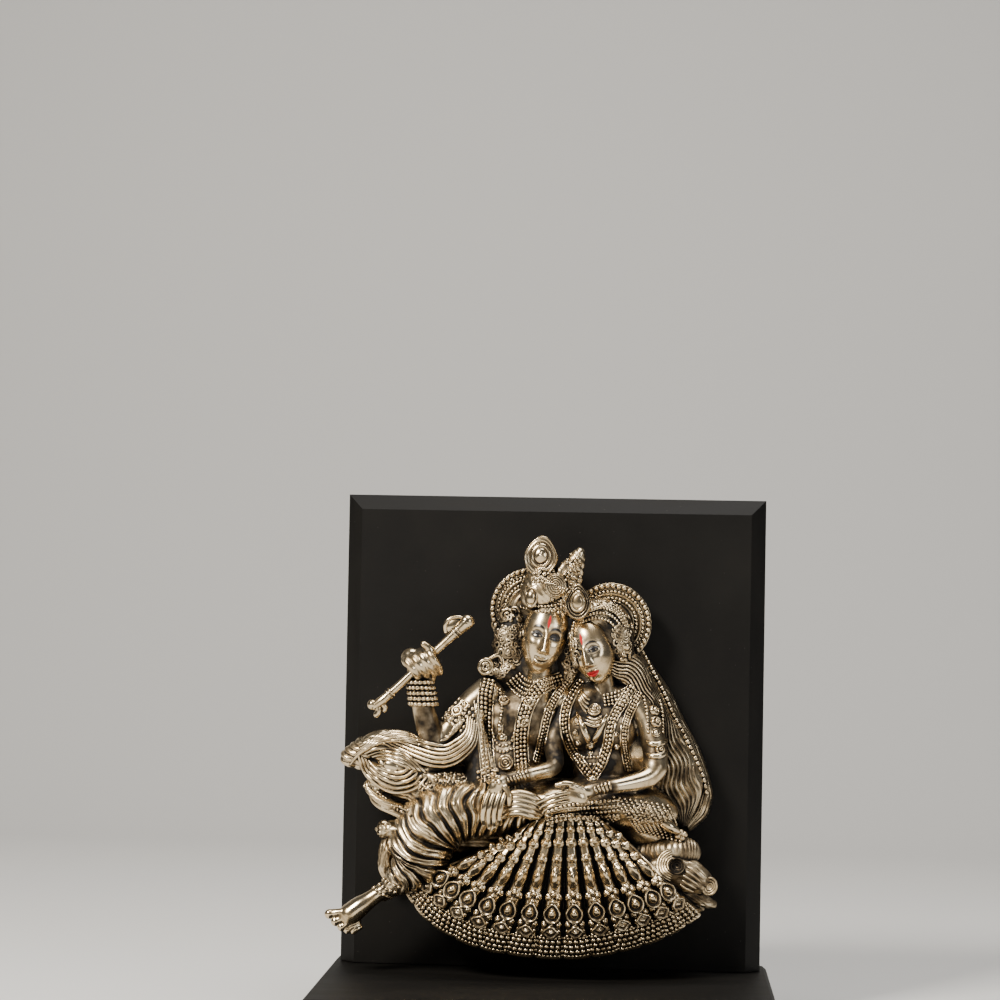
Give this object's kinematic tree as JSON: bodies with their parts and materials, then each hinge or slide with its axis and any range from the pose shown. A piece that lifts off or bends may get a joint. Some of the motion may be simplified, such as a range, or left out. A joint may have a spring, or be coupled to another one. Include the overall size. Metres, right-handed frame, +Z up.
{
  "type": "radha krishna statue",
  "caption": "Seated divine couple cast in antique gold relief, one raising a flute, the other in a fanned pleated skirt, held against a black chamfered board on a black base.",
  "frame": {"origin": "centre of the underside of the base", "axes": "+Z up the board, +Y from the figures towards the back of the board, the figures face -Y"},
  "size_m": [0.132, 0.09, 0.157],
  "materials": {
    "antique_gold": "antiqued pale gold, polished high spots and black patina in the recesses",
    "black_wood": "matte black paint"
  },
  "bodies": {
    "root": {"radha_krishna_casting": "antique_gold", "back_board": "black_wood", "base_board": "black_wood"}
  },
  "joints": []
}
